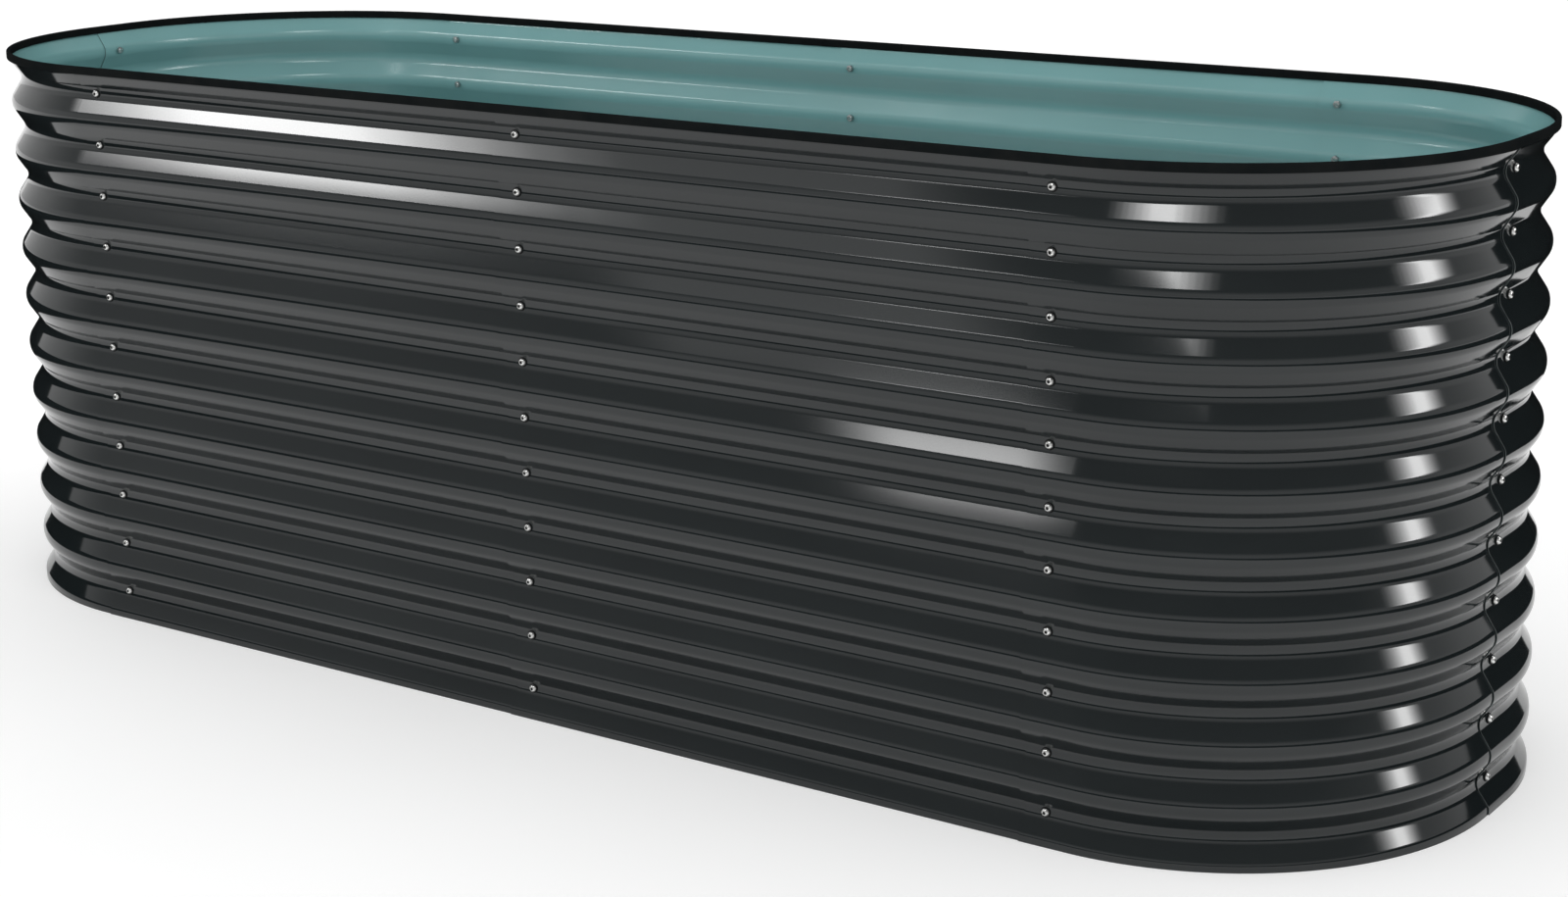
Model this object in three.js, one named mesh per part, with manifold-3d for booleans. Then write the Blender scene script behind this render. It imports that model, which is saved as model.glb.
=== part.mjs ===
// Oblong raised garden bed: eight corrugated sheet panels, lapped and bolted into one ring,
// with a rubber edging over the top edge and two braces across the middle.
// Millimetres, +Z up, origin at the middle of the ground, +X along the bed, -Y the front.
import * as THREE from "three";
import { mergeVertices } from "three/addons/utils/BufferGeometryUtils.js";
import Module from "manifold-3d";

// Seam bolts: button head on a rubber washer outside, nut inside.
const headDiameter = 10.5;
const headTopDiameter = 6;
const headHeight = 3.3;
const washerLip = 1.25;
const washerThickness = 1.5;
const shankDiameter = 6;
const nutDiameter = 11;
const nutThickness = 5;
const seatClearance = 0.3;
const holeClearance = 0.5;

// Corrugated sheet: one bolt row in every valley, the top and bottom edges on a crest.
const rowCount = 11;
const washerMargin = 4.5;
const crestFlat = 23;
const slopeHeight = 15;
const corrugationDepth = 17;
const sheetThickness = 0.8;

// Plan of the ring, on the sheet's middle in the valleys.
const seamSpacing = 787.5;
const cornerRadius = 355;
const lapMargin = 28;
const lapToCurve = 7;
const lapClearance = 0.4;

// Rubber edging.
const edgingWall = 1.6;
const edgingCrown = 2;
const edgingShoulder = 1.8;
const edgingClearance = 0.3;
const edgingLegMargin = 2.5;
const edgingJointOffset = 80;
const edgingJointGap = 1;

// Cross braces between two seams, in bolt rows counted from the top.
const bracedSeams = ["front_middle", "rear_middle"];
const braceRows = { cross_brace_upper: 5, cross_brace_lower: 9 };
const braceDiameter = 6;
const braceNutGap = 5;
const braceTabThickness = 2.5;
const braceTabMargin = 4.5;

// Facets.
const cornerSteps = 6;
const boltSides = 6;
const braceSides = 10;
const shoulderSteps = 2;

const sheetMaterial = { color: 0x1c2123, roughness: 0.3, metalness: 0.2 };
const boltMaterial = { color: 0xc6c9cb, roughness: 0.3, metalness: 0.9 };
const braceMaterial = { color: 0xb4b8ba, roughness: 0.35, metalness: 0.9 };
const edgingMaterial = { color: 0x17191a, roughness: 0.65, metalness: 0 };

// Sizes that follow from those above.
const washerDiameter = headDiameter + 2 * washerLip;
const valleyFlat = washerDiameter + 2 * washerMargin;
const rowPitch = crestFlat + valleyFlat + 2 * slopeHeight;
const sheetHeight = rowCount * rowPitch;
const quarterTurn = Math.PI / 2;
const cornerFlange = lapMargin + lapToCurve;
const halfWidth = cornerRadius + cornerFlange;

// Two lapped sheets lie this far out and in from the middle, so that their slopes clear too.
const slopeShare = slopeHeight / Math.hypot(slopeHeight, corrugationDepth);
const lapShift = (sheetThickness + lapClearance) / slopeShare / 2;
const lapFace = lapShift + sheetThickness / 2;

// Levels along a bolt's axis, measured inwards from the middle of the lap.
const washerSeat = -(lapFace + seatClearance);
const headBase = washerSeat - washerThickness;
const headTop = headBase - headHeight;
const nutSeat = lapFace + seatClearance;
const braceNutSeat = nutSeat + braceTabThickness + seatClearance;
const holeDiameter = shankDiameter + 2 * holeClearance;

const wasm = await Module();
wasm.setup();

function toSolid(geometry) {
  const bare = geometry.clone();
  bare.deleteAttribute("normal");
  bare.deleteAttribute("uv");
  const merged = mergeVertices(bare);
  const mesh = new wasm.Mesh({
    numProp: 3,
    vertProperties: new Float32Array(merged.attributes.position.array),
    triVerts: new Uint32Array(merged.index.array),
  });
  return new wasm.Manifold(mesh);
}

function toGeometry(solid) {
  const { vertProperties, triVerts } = solid.getMesh();
  const geometry = new THREE.BufferGeometry();
  geometry.setAttribute("position", new THREE.BufferAttribute(vertProperties, 3));
  geometry.setIndex(new THREE.BufferAttribute(triVerts, 1));
  geometry.computeVertexNormals();
  return geometry;
}

function namedMesh(name, geometry, material) {
  const mesh = new THREE.Mesh(geometry, new THREE.MeshStandardMaterial(material));
  mesh.name = name;
  return mesh;
}

// Height of a bolt row, counted from 1 at the top.
function rowHeight(row) {
  return sheetHeight - (row - 0.5) * rowPitch;
}

// Bolt rows from the top: every other one has bolts of its own, and the rows between have
// their heads joined to the outer sheet of the lap and their nuts to the inner one.
const allRows = Array.from({ length: rowCount }, (unused, index) => index + 1);
const looseRows = allRows.filter((row) => row % 2 === 1);
const joinedRows = allRows.filter((row) => row % 2 === 0);

// ---- Plan -----------------------------------------------------------------------------

// A place in plan, with the heading of a walk round the bed, counter-clockwise from above.
function station(x, y, heading) {
  return { x, y, heading };
}

function outwards({ heading }) {
  return new THREE.Vector2(Math.sin(heading), -Math.cos(heading));
}

function curveStations() {
  return Array.from({ length: cornerSteps + 1 }, (unused, step) => {
    const heading = (step / cornerSteps) * quarterTurn;
    const x = cornerFlange + cornerRadius * Math.sin(heading);
    const y = cornerRadius * (1 - Math.cos(heading));
    return station(x, y, heading);
  });
}

// A kind of panel: where its last seam lies, seen from its first seam, and its bends between.
const sidePanel = { end: station(seamSpacing, 0, 0), bends: [] };
const cornerPanel = { end: station(halfWidth, halfWidth, quarterTurn), bends: curveStations() };

// The seams in walking order. Each names the panel that starts there, over the last one.
const seamWalk = [
  ["front_left", "side_panel_front_left", sidePanel],
  ["front_middle", "side_panel_front_right", sidePanel],
  ["front_right", "corner_panel_front_right", cornerPanel],
  ["right_middle", "corner_panel_rear_right", cornerPanel],
  ["rear_right", "side_panel_rear_right", sidePanel],
  ["rear_middle", "side_panel_rear_left", sidePanel],
  ["rear_left", "corner_panel_rear_left", cornerPanel],
  ["left_middle", "corner_panel_front_left", cornerPanel],
];

// A station seen from a seam, as it lies in the whole plan.
function placed(local, seam) {
  const turned = new THREE.Vector2(local.x, local.y).rotateAround(new THREE.Vector2(), seam.heading);
  return station(seam.x + turned.x, seam.y + turned.y, seam.heading + local.heading);
}

function layOutSeams() {
  let place = station(-seamSpacing, -halfWidth, 0);
  return seamWalk.map(([name, panelName, panel]) => {
    const seam = { name, panelName, panel, ...place };
    place = placed(panel.end, seam);
    return seam;
  });
}

// Carries a section along a level walk: the section's x points inwards and its y up.
class LevelPath extends THREE.Curve {
  constructor(stations) {
    super();
    this.stations = stations;
  }

  getSpacedPoints() {
    return this.stations.map(({ x, y }) => new THREE.Vector3(x, y, 0));
  }

  computeFrenetFrames() {
    const flat = this.stations.map(outwards);
    return {
      tangents: flat.map(({ x, y }) => new THREE.Vector3(-y, x, 0)),
      normals: flat.map(({ x, y }) => new THREE.Vector3(-x, -y, 0)),
      binormals: flat.map(() => new THREE.Vector3(0, 0, 1)),
    };
  }
}

function sweep(section, stations, curveSegments) {
  const extrudePath = new LevelPath(stations);
  return new THREE.ExtrudeGeometry(section, { steps: stations.length - 1, extrudePath, curveSegments });
}

// ---- Panels ---------------------------------------------------------------------------

// The sheet's middle line from the ground up, x inwards.
function corrugationLine() {
  const line = [new THREE.Vector2(-corrugationDepth, 0)];
  for (const row of [...allRows].reverse()) {
    const middle = rowHeight(row);
    const valleyEdge = valleyFlat / 2;
    const crestEdge = valleyEdge + slopeHeight;
    line.push(new THREE.Vector2(-corrugationDepth, middle - crestEdge));
    line.push(new THREE.Vector2(0, middle - valleyEdge));
    line.push(new THREE.Vector2(0, middle + valleyEdge));
    line.push(new THREE.Vector2(-corrugationDepth, middle + crestEdge));
  }
  line.push(new THREE.Vector2(-corrugationDepth, sheetHeight));
  return line;
}

// The line moved to its right by a distance, with mitred corners.
function parallelLine(line, distance) {
  return line.map((point, index) => {
    const before = line[Math.max(index - 1, 0)];
    const after = line[Math.min(index + 1, line.length - 1)];
    const arriving = (index > 0 ? point.clone().sub(before) : after.clone().sub(point)).normalize();
    const leaving = after === point ? arriving.clone() : after.clone().sub(point).normalize();
    const along = arriving.clone().add(leaving).normalize();
    const reach = distance / along.dot(arriving);
    return new THREE.Vector2(point.x + along.y * reach, point.y - along.x * reach);
  });
}

function sheetSection() {
  const line = corrugationLine();
  const inner = parallelLine(line, sheetThickness / 2);
  const outer = parallelLine(line, -sheetThickness / 2);
  return new THREE.Shape([...inner, ...outer.reverse()]);
}

// A panel runs past both of its seams, and drifts from the outside of the lap at its start
// to the inside of the lap at its end.
function panelStations({ end, bends }) {
  const start = station(-lapMargin, 0, 0);
  const past = placed(station(lapMargin, 0, 0), end);
  const middle = [start, ...bends, past];
  const lengths = [0];
  for (let index = 1; index < middle.length; index += 1) {
    const { x, y } = middle[index - 1];
    lengths.push(lengths[index - 1] + Math.hypot(middle[index].x - x, middle[index].y - y));
  }
  return middle.map((place, index) => {
    const shift = lapShift * (1 - (2 * lengths[index]) / lengths.at(-1));
    const out = outwards(place);
    return station(place.x + out.x * shift, place.y + out.y * shift, place.heading);
  });
}

// Turns a profile of [radius, level] pairs into a solid on a bolt's axis, which is Y.
function turned(profile) {
  const points = profile.map(([radius, level]) => new THREE.Vector2(radius, level));
  return new THREE.LatheGeometry(points, boltSides);
}

function joinedHead() {
  return turned([
    [0, headTop],
    [headTopDiameter / 2, headTop],
    [headDiameter / 2, headBase],
    [washerDiameter / 2, headBase],
    [washerDiameter / 2, -lapShift],
    [0, -lapShift],
  ]);
}

function joinedNut() {
  return turned([
    [0, lapShift],
    [nutDiameter / 2, lapShift],
    [nutDiameter / 2, nutSeat + nutThickness],
    [0, nutSeat + nutThickness],
  ]);
}

function boltHole() {
  const length = 2 * (lapFace + braceTabThickness + nutThickness);
  return new THREE.CylinderGeometry(holeDiameter / 2, holeDiameter / 2, length, boltSides);
}

// Copies of a bolt-axis shape, one in each row at a place in plan.
function inRows(geometry, rows, place) {
  return rows.map((row) => {
    const copy = geometry.clone();
    copy.rotateZ(place.heading);
    copy.translate(place.x, place.y, rowHeight(row));
    return toSolid(copy);
  });
}

function panelGeometry(panel) {
  const first = station(0, 0, 0);
  const heads = inRows(joinedHead(), joinedRows, first);
  const nuts = inRows(joinedNut(), joinedRows, panel.end);
  const holes = [...inRows(boltHole(), looseRows, first), ...inRows(boltHole(), looseRows, panel.end)];
  const sheet = toSolid(sweep(sheetSection(), panelStations(panel), 1));
  const joined = [...heads, ...nuts].reduce((solid, stud) => solid.add(stud), sheet);
  return toGeometry(holes.reduce((solid, hole) => solid.subtract(hole), joined));
}

// ---- Bolts ----------------------------------------------------------------------------

function seamBolt(nutStart) {
  return turned([
    [0, headTop],
    [headTopDiameter / 2, headTop],
    [headDiameter / 2, headBase],
    [washerDiameter / 2, headBase],
    [washerDiameter / 2, washerSeat],
    [shankDiameter / 2, washerSeat],
    [shankDiameter / 2, nutStart],
    [nutDiameter / 2, nutStart],
    [nutDiameter / 2, nutStart + nutThickness],
    [0, nutStart + nutThickness],
  ]);
}

// A bolt that also holds a brace's tab has its nut further in.
function boltsOfSeam({ name }) {
  const bracedRows = bracedSeams.includes(name) ? Object.values(braceRows) : [];
  return looseRows.map((row) => {
    const nutStart = bracedRows.includes(row) ? braceNutSeat : nutSeat;
    const label = `seam_bolt_${name}_${String(row).padStart(2, "0")}`;
    const bolt = namedMesh(label, seamBolt(nutStart), boltMaterial);
    bolt.position.z = rowHeight(row);
    return bolt;
  });
}

// ---- Edging ---------------------------------------------------------------------------

// An upturned U over the two sheets of a lap, rounded at its shoulders, x inwards.
function edgingSection() {
  const slot = lapFace + edgingClearance;
  const side = slot + edgingWall;
  const foot = sheetHeight - (crestFlat / 2 - edgingLegMargin);
  const roof = sheetHeight + edgingClearance;
  const top = roof + edgingCrown;
  const shape = new THREE.Shape();
  shape.moveTo(side, foot);
  shape.lineTo(side, top - edgingShoulder);
  shape.absarc(side - edgingShoulder, top - edgingShoulder, edgingShoulder, 0, quarterTurn, false);
  shape.absarc(edgingShoulder - side, top - edgingShoulder, edgingShoulder, quarterTurn, Math.PI, false);
  shape.lineTo(-side, foot);
  shape.lineTo(-slot, foot);
  shape.lineTo(-slot, roof);
  shape.lineTo(slot, roof);
  shape.lineTo(slot, foot);
  return shape;
}

// One strip all the way round, with its two ends meeting beside the rear middle seam.
function edgingStations(seams) {
  const jointIndex = seams.findIndex(({ name }) => name === "rear_middle");
  const jointSeam = seams[jointIndex];
  const walk = [...seams.slice(jointIndex), ...seams.slice(0, jointIndex)];
  const bends = walk.flatMap((seam) => seam.panel.bends.map((bend) => placed(bend, seam)));
  const start = placed(station(edgingJointGap / 2 - edgingJointOffset, 0, 0), jointSeam);
  const end = placed(station(-edgingJointGap / 2 - edgingJointOffset, 0, 0), jointSeam);
  return [start, ...bends, end].map((place) => {
    const out = outwards(place);
    const x = place.x + out.x * corrugationDepth;
    const y = place.y + out.y * corrugationDepth;
    return station(x, y, place.heading);
  });
}

function rimEdging(seams) {
  const geometry = sweep(edgingSection(), edgingStations(seams), shoulderSteps);
  return namedMesh("rim_edging", geometry, edgingMaterial);
}

// ---- Braces ---------------------------------------------------------------------------

// A rod between the front and rear middle seams, below its bolts, with an upright tab at
// each end that the seam bolt passes through.
function crossBrace(name, row) {
  const tabFace = halfWidth - nutSeat;
  const tabMiddle = tabFace - braceTabThickness / 2;
  const drop = nutDiameter / 2 + braceNutGap + braceDiameter / 2;
  const tabTop = nutDiameter / 2 + braceTabMargin;
  const tabFoot = -(drop + braceDiameter / 2 + braceTabMargin);
  const tabWidth = nutDiameter + 2 * braceTabMargin;
  const rod = new THREE.CylinderGeometry(braceDiameter / 2, braceDiameter / 2, 2 * tabMiddle, braceSides);
  rod.translate(0, 0, -drop);
  let solid = toSolid(rod);
  for (const side of [-1, 1]) {
    const tab = new THREE.BoxGeometry(tabWidth, braceTabThickness, tabTop - tabFoot);
    tab.translate(0, side * tabMiddle, (tabTop + tabFoot) / 2);
    const hole = boltHole().translate(0, side * tabMiddle, 0);
    solid = solid.add(toSolid(tab)).subtract(toSolid(hole));
  }
  const brace = namedMesh(name, toGeometry(solid), braceMaterial);
  brace.position.z = rowHeight(row);
  return brace;
}

// ---- Garden bed -----------------------------------------------------------------------

function gardenBed() {
  const bed = new THREE.Group();
  const seams = layOutSeams();
  const geometries = new Map([sidePanel, cornerPanel].map((panel) => [panel, panelGeometry(panel)]));
  for (const seam of seams) {
    const group = new THREE.Group();
    group.position.set(seam.x, seam.y, 0);
    group.rotation.z = seam.heading;
    group.add(namedMesh(seam.panelName, geometries.get(seam.panel), sheetMaterial));
    group.add(...boltsOfSeam(seam));
    bed.add(group);
  }
  bed.add(rimEdging(seams));
  for (const [name, row] of Object.entries(braceRows)) {
    bed.add(crossBrace(name, row));
  }
  return bed;
}

export default gardenBed();
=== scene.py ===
"""Raised garden bed: eight corrugated sheet panels, their fasteners, the edging and two braces.

Metres, +Z up, origin at the middle of the ground, +X along the bed, -Y the front. The bed's sizes
are millimetres, as they are on the drawing, and become metres where meshes are made. The
studio's are metres.
"""

import logging
import math
from abc import ABC, abstractmethod
from dataclasses import dataclass, field
from enum import Enum

import bmesh
import bpy
from mathutils import Matrix, Quaternion, Vector

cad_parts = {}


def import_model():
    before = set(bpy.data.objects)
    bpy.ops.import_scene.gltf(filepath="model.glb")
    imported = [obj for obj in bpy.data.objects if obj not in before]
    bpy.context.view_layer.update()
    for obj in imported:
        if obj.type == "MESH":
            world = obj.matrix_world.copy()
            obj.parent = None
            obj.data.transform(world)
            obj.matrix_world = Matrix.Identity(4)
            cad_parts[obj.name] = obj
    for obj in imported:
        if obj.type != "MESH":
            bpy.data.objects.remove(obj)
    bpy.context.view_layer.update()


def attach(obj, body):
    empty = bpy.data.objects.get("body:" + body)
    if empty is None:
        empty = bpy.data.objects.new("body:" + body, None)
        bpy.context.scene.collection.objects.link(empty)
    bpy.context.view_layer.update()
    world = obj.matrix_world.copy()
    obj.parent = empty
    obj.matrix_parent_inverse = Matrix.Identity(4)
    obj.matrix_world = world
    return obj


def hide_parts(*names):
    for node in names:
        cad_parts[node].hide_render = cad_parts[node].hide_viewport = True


LOG = logging.getLogger("garden_bed")
MM = 0.001
QUARTER_TURN = math.pi / 2
HEXAGON_SIDES = 6
HEXAGON_ANGLE = 360 / HEXAGON_SIDES
UPRIGHT = Vector((0.0, 0.0, 1.0))
MERGE_DISTANCE = 0.00001
SAME_PLACE = 0.000001
LOW_SPOT, HIGH_SPOT = 0.3, 0.7

Colour = tuple[float, float, float]
Shape = bmesh.types.BMesh
Verts = list[bmesh.types.BMVert]
Edges = list[bmesh.types.BMEdge]


class Slot(Enum):
    """The material slots that the record names."""

    PANEL_PAINT = "panel_paint"
    BOLT_STEEL = "bolt_steel"
    BRACE_STEEL = "brace_steel"
    EDGING_RUBBER = "edging_rubber"


class Rounding(Enum):
    """What a bevel rounds, in its operator's words."""

    CORNERS = "VERTICES"
    EDGES = "EDGES"


# ---- Finishes -----------------------------------------------------------------------------


@dataclass(frozen=True)
class Grain:
    """A noise pattern in object space.

    Attributes:
        scale: Spots to the metre.
        detail: Octaves of finer noise.
        roughness: Strength of the finer octaves.
        stretch: Scale of the pattern along each axis.
    """

    scale: float
    detail: float = 2.0
    roughness: float = 0.5
    stretch: tuple[float, float, float] = (1.0, 1.0, 1.0)


Bumps = tuple[Grain, float]


def set_stops(ramp: bpy.types.ColorRamp, *stops: tuple[float, Colour]) -> None:
    """Sets the stops of a colour ramp.

    Args:
        ramp: The ramp.
        stops: Each stop's place on it and colour, in order.
    """
    for element, (place, colour) in zip(ramp.elements, stops):
        element.position = place
        element.color = (*colour, 1.0)


class ShaderSheet:
    """One material with a Principled shader, and the few kinds of node that the finishes use.

    Where a pattern drives a colour or a value, it does so between LOW_SPOT and HIGH_SPOT.
    """

    def __init__(self, name: str) -> None:
        """Starts the material.

        Args:
            name: The material's name.
        """
        self.material = bpy.data.materials.new(name)
        self.material.use_nodes = True
        self.nodes = self.material.node_tree.nodes
        self.links = self.material.node_tree.links
        self.nodes.clear()
        output = self.nodes.new("ShaderNodeOutputMaterial")
        self.shader = self.nodes.new("ShaderNodeBsdfPrincipled")
        self.links.new(self.shader.outputs["BSDF"], output.inputs["Surface"])
        self.place = self.nodes.new("ShaderNodeTexCoord").outputs["Object"]

    def set(self, socket: str, value: float | tuple[float, ...]) -> None:
        """Sets a value that is the same all over the surface."""
        self.shader.inputs[socket].default_value = value

    def feed(self, socket: str, source: bpy.types.NodeSocket) -> None:
        """Links a pattern to one of the shader's sockets."""
        self.links.new(source, self.shader.inputs[socket])

    def noise(self, grain: Grain) -> bpy.types.NodeSocket:
        """Adds a noise pattern.

        Args:
            grain: The pattern.

        Returns:
            The pattern's value.
        """
        mapping = self.nodes.new("ShaderNodeMapping")
        mapping.inputs["Scale"].default_value = grain.stretch
        self.links.new(self.place, mapping.inputs["Vector"])
        pattern = self.nodes.new("ShaderNodeTexNoise")
        pattern.inputs["Scale"].default_value = grain.scale
        pattern.inputs["Detail"].default_value = grain.detail
        pattern.inputs["Roughness"].default_value = grain.roughness
        self.links.new(mapping.outputs["Vector"], pattern.inputs["Vector"])
        return pattern.outputs["Fac"]

    def blend(self, grain: Grain, low: Colour, high: Colour) -> bpy.types.NodeSocket:
        """Adds a ramp between two colours.

        Args:
            grain: The pattern that drives it.
            low: Colour in the pattern's low spots.
            high: Colour in its high spots.

        Returns:
            The colour.
        """
        ramp = self.nodes.new("ShaderNodeValToRGB")
        set_stops(ramp.color_ramp, (LOW_SPOT, low), (HIGH_SPOT, high))
        self.links.new(self.noise(grain), ramp.inputs["Fac"])
        return ramp.outputs["Color"]

    def span(self, grain: Grain, low: float, high: float) -> bpy.types.NodeSocket:
        """Adds a value that a pattern drives.

        Args:
            grain: The pattern.
            low: The value in the pattern's low spots.
            high: The value in its high spots.

        Returns:
            The value.
        """
        spread = self.nodes.new("ShaderNodeMapRange")
        ends = {"From Min": LOW_SPOT, "From Max": HIGH_SPOT, "To Min": low, "To Max": high}
        for socket, value in ends.items():
            spread.inputs[socket].default_value = value
        self.links.new(self.noise(grain), spread.inputs["Value"])
        return spread.outputs["Result"]

    def relief(self, layers: tuple[Bumps, ...]) -> None:
        """Adds bumps.

        Args:
            layers: Each pattern with its height in metres.
        """
        normal = None
        for grain, height in layers:
            bump = self.nodes.new("ShaderNodeBump")
            bump.inputs["Strength"].default_value = 1.0
            bump.inputs["Distance"].default_value = height
            self.links.new(self.noise(grain), bump.inputs["Height"])
            if normal is not None:
                self.links.new(normal, bump.inputs["Normal"])
            normal = bump.outputs["Normal"]
        self.feed("Normal", normal)


@dataclass(frozen=True)
class Finish(ABC):
    """A finish in two close colours that makes its material once.

    Attributes:
        name: The material's name.
        dark: Colour in its darker spots.
        pale: Colour in its paler spots.
        roughness: Least and most roughness.
    """

    name: str
    dark: Colour
    pale: Colour
    roughness: tuple[float, float]

    @abstractmethod
    def dress(self, sheet: ShaderSheet) -> None:
        """Fills the material's nodes."""

    def cover(self, sheet: ShaderSheet, spots: Grain, shine: Grain, *layers: Bumps) -> None:
        """Gives the material the finish's colours, roughness and bumps.

        Args:
            sheet: The material.
            spots: Pattern of the colours.
            shine: Pattern of the roughness.
            layers: Patterns of bumps, each with its height in metres.
        """
        sheet.feed("Base Color", sheet.blend(spots, self.dark, self.pale))
        sheet.feed("Roughness", sheet.span(shine, *self.roughness))
        sheet.relief(layers)

    def material(self) -> bpy.types.Material:
        """Makes the finish's material, the first time that it is asked for.

        Returns:
            The material.
        """
        made = bpy.data.materials.get(self.name)
        if made is None:
            sheet = ShaderSheet(self.name)
            self.dress(sheet)
            made = sheet.material
        return made


SHEET_WAVE: Bumps = (Grain(3.2, detail=1.0, stretch=(1.0, 1.0, 1.6)), 0.0004)


@dataclass(frozen=True)
class GlossPaint(Finish):
    """Dark paint under a clear coat, on the outside of the sheets.

    Attributes:
        gloss: How strongly the paint reflects under its coat.
        coat: Weight of the coat.
        coat_roughness: Roughness of the coat.
        clouds: Pattern of its colours.
        shine: Pattern of its roughness.
        orange_peel: Its fine bumps.
    """

    name: str = "gloss_charcoal_paint"
    dark: Colour = (0.0075, 0.0102, 0.0110)
    pale: Colour = (0.0100, 0.0132, 0.0140)
    roughness: tuple[float, float] = (0.3, 0.4)
    gloss: float = 0.0
    coat: float = 1.0
    coat_roughness: float = 0.08
    clouds: Grain = Grain(7.0, detail=4.0, roughness=0.55, stretch=(0.6, 0.6, 2.0))
    shine: Grain = Grain(23.0, detail=3.0)
    orange_peel: Bumps = (Grain(420.0, detail=1.0), 0.000002)

    def dress(self, sheet: ShaderSheet) -> None:
        """Fills the material's nodes."""
        self.cover(sheet, self.clouds, self.shine, SHEET_WAVE, self.orange_peel)
        sheet.set("Specular IOR Level", self.gloss)
        sheet.set("Coat Weight", self.coat)
        sheet.set("Coat Roughness", self.coat_roughness)


@dataclass(frozen=True)
class InnerPaint(Finish):
    """Pale green primer paint on the inside of the sheets.

    Attributes:
        clouds: Pattern of its colours.
        shine: Pattern of its roughness.
        orange_peel: Its fine bumps.
    """

    name: str = "pale_green_back_paint"
    dark: Colour = (0.158, 0.330, 0.334)
    pale: Colour = (0.172, 0.353, 0.358)
    roughness: tuple[float, float] = (0.16, 0.22)
    clouds: Grain = Grain(6.0, detail=3.0)
    shine: Grain = Grain(31.0, detail=3.0)
    orange_peel: Bumps = (Grain(380.0, detail=1.0), 0.000002)

    def dress(self, sheet: ShaderSheet) -> None:
        """Fills the material's nodes."""
        self.cover(sheet, self.clouds, self.shine, SHEET_WAVE, self.orange_peel)


@dataclass(frozen=True)
class BareEdge(Finish):
    """The sheets' cut edges, where the zinc shows between the two paints.

    Attributes:
        metal: Share of bare metal.
        streaks: Pattern of its colours.
        shine: Pattern of its roughness.
        burr: Its fine bumps.
    """

    name: str = "cut_zinc_edge"
    dark: Colour = (0.14, 0.16, 0.16)
    pale: Colour = (0.34, 0.37, 0.37)
    roughness: tuple[float, float] = (0.35, 0.6)
    metal: float = 0.6
    streaks: Grain = Grain(90.0, detail=4.0, stretch=(1.0, 1.0, 0.25))
    shine: Grain = Grain(240.0)
    burr: Bumps = (Grain(900.0, detail=3.0), 0.00004)

    def dress(self, sheet: ShaderSheet) -> None:
        """Fills the material's nodes."""
        self.cover(sheet, self.streaks, self.shine, self.burr)
        sheet.set("Metallic", self.metal)


@dataclass(frozen=True)
class PlatedSteel(Finish):
    """Plated steel of screws, nuts and braces, and a darker copy that paints shade into the screws'
    sockets.

    Attributes:
        grain: Spots to the metre.
        shine_grain: Shiny spots to each of those.
        pit_grain: Pits to each of those.
        pit_depth: Depth of the pits in metres.
    """

    grain: float
    shine_grain: float = 2.3
    pit_grain: float = 4.0
    pit_depth: float = 0.00003

    def dress(self, sheet: ShaderSheet) -> None:
        """Fills the material's nodes."""
        spots = Grain(self.grain, detail=5.0, roughness=0.62)
        shine = Grain(self.grain * self.shine_grain)
        pits = Grain(self.grain * self.pit_grain, detail=3.0)
        self.cover(sheet, spots, shine, (pits, self.pit_depth))
        sheet.set("Metallic", 1.0)


@dataclass(frozen=True)
class Rubber(Finish):
    """Black rubber of the washers and the edging, and the screens' felt, paler in its bloom.

    Attributes:
        gloss: How strongly it reflects.
        bloom: Pattern of its bloom.
        shine: Pattern of its roughness.
        ripple: Its long waves.
        pores: Its fine bumps.
    """

    gloss: float
    bloom: Grain = Grain(26.0, detail=5.0, roughness=0.65)
    shine: Grain = Grain(60.0, detail=3.0)
    ripple: Bumps = (Grain(9.0, detail=1.0), 0.0004)
    pores: Bumps = (Grain(1400.0), 0.00001)

    def dress(self, sheet: ShaderSheet) -> None:
        """Fills the material's nodes."""
        self.cover(sheet, self.bloom, self.shine, self.ripple, self.pores)
        sheet.set("Specular IOR Level", self.gloss)


GLOSS_PAINT = GlossPaint()
INNER_PAINT = InnerPaint()
BARE_EDGE = BareEdge()
SCREW_STEEL = PlatedSteel(
    "bright_screw_steel", (0.60, 0.60, 0.59), (0.88, 0.88, 0.86), (0.22, 0.36), 260.0
)
# A near-black copy of the screw steel: painted shade for the hexagon sockets' recess.
SOCKET_SHADE_STEEL = PlatedSteel(
    "socket_painted_shade_steel", (0.035, 0.035, 0.035), (0.10, 0.10, 0.10), (0.45, 0.65), 400.0
)
NUT_STEEL = PlatedSteel(
    "zinc_nut_steel", (0.33, 0.34, 0.34), (0.58, 0.59, 0.59), (0.3, 0.45), 240.0
)
BRACE_STEEL = PlatedSteel(
    "zinc_brace_steel", (0.36, 0.37, 0.38), (0.60, 0.61, 0.62), (0.3, 0.46), 60.0
)
WASHER_RUBBER = Rubber(
    "washer_rubber", (0.006, 0.006, 0.006), (0.014, 0.014, 0.014), (0.5, 0.7), 0.1
)
EDGING_RUBBER = Rubber(
    "black_edging_rubber", (0.006, 0.0075, 0.008), (0.010, 0.011, 0.011), (0.5, 0.65), 0.0
)
SCREEN_FELT = Rubber(
    "dark_screen_felt", (0.004, 0.004, 0.004), (0.008, 0.008, 0.008), (0.9, 1.0), 0.0
)


# ---- Making pieces ------------------------------------------------------------------------


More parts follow.
